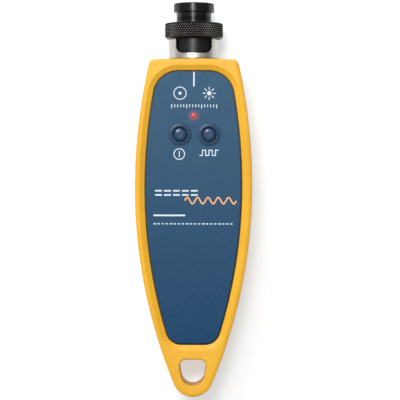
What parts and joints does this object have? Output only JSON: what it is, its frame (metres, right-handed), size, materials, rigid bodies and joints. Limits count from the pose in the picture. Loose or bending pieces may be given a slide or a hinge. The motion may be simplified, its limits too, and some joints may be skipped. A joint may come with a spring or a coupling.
{
  "type": "handheld visual fault locator",
  "caption": "Handheld fibre light source: leaf-shaped two-tone case with a lanyard loop, recessed face, push buttons, lamp and a capped port with a knurled nut.",
  "frame": {"origin": "middle of the bounding box at the flat back, lying on its back", "axes": "+Y along the tool towards the optical port, +X to the right, +Z out of the face with the buttons"},
  "size_m": [0.0472, 0.1576, 0.026],
  "materials": {
    "yellow_shell": "fine matt texture, amber yellow",
    "blue_panel": "satin, slate blue",
    "blue_button": "satin, slate blue",
    "black_anodised": "black anodised, turned",
    "nickel": "polished, turned",
    "red_lamp": "clear red tinted",
    "board_green": "solder resist",
    "chip_black": "moulded",
    "steel": "plain",
    "brass": "turned",
    "gold_leaf": "plated spring strip",
    "zirconia": "ground",
    "lens_glass": "clear",
    "cell_jacket": "printed sleeve",
    "capacitor": "chip ceramic",
    "wire_red": "insulation",
    "wire_black": "insulation",
    "lamp_chip": "chip body"
  },
  "bodies": {
    "case": {"front_shell": "yellow_shell", "rear_shell": "yellow_shell", "face_panel": "blue_panel", "power_switch": "steel", "flash_switch": "steel", "circuit_board": "board_green", "board_screws": "steel", "driver_chip": "chip_black", "boost_inductor": "chip_black", "board_capacitors": "capacitor", "led_indicator": "lamp_chip", "led_lens": "red_lamp", "laser_housing": "brass", "laser_diode": "gold_leaf", "focusing_lens": "lens_glass", "laser_leads": "gold_leaf", "port_post": "nickel", "ferrule_stub": "zirconia", "battery_left": "cell_jacket", "battery_right": "cell_jacket", "positive_contact": "gold_leaf", "negative_contact": "gold_leaf", "bridge_contact": "gold_leaf", "shell_screws": "steel", "battery_wire_red": "wire_red", "battery_wire_black": "wire_black"},
    "power_key": {"power_button": "blue_button", "power_plunger": "chip_black"},
    "flash_key": {"flash_button": "blue_button", "flash_plunger": "chip_black"},
    "adapter": {"adapter_barrel": "black_anodised", "alignment_sleeve": "zirconia", "nut_circlip": "steel"},
    "nut": {"coupling_nut": "black_anodised"},
    "cap": {"dust_cap": "black_anodised"},
    "door": {"battery_door": "yellow_shell"}
  },
  "joints": [
    {"name": "power_press", "type": "slide", "parent": "case", "child": "power_key", "axis": [0, 0, -1], "range_m": [0, 0.0005], "stiffness_N_per_m": 2000, "springref_m": -0.0002},
    {"name": "flash_press", "type": "slide", "parent": "case", "child": "flash_key", "axis": [0, 0, -1], "range_m": [0, 0.0005], "stiffness_N_per_m": 2000, "springref_m": -0.0002},
    {"name": "adapter_lift", "type": "slide", "parent": "case", "child": "adapter", "axis": [0, 1, 0], "range_m": [0, 0.003]},
    {"name": "nut_turn", "type": "hinge", "parent": "adapter", "child": "nut", "pos_m": [0, 0.067, 0.013], "axis": [0, 1, 0], "range_deg": [0, 1441]},
    {"name": "dust_cap_pull", "type": "slide", "parent": "adapter", "child": "cap", "axis": [0, 1, 0], "range_m": [0, 0.02]},
    {"name": "door_swing", "type": "hinge", "parent": "case", "child": "door", "pos_m": [0, 0.0186, 0.00105], "axis": [1, 0, 0], "range_deg": [0, 80]}
  ],
  "couplings": [
    {"joint": "nut_turn", "follows": "adapter_lift", "rad_per_m": 8377.6}
  ]
}
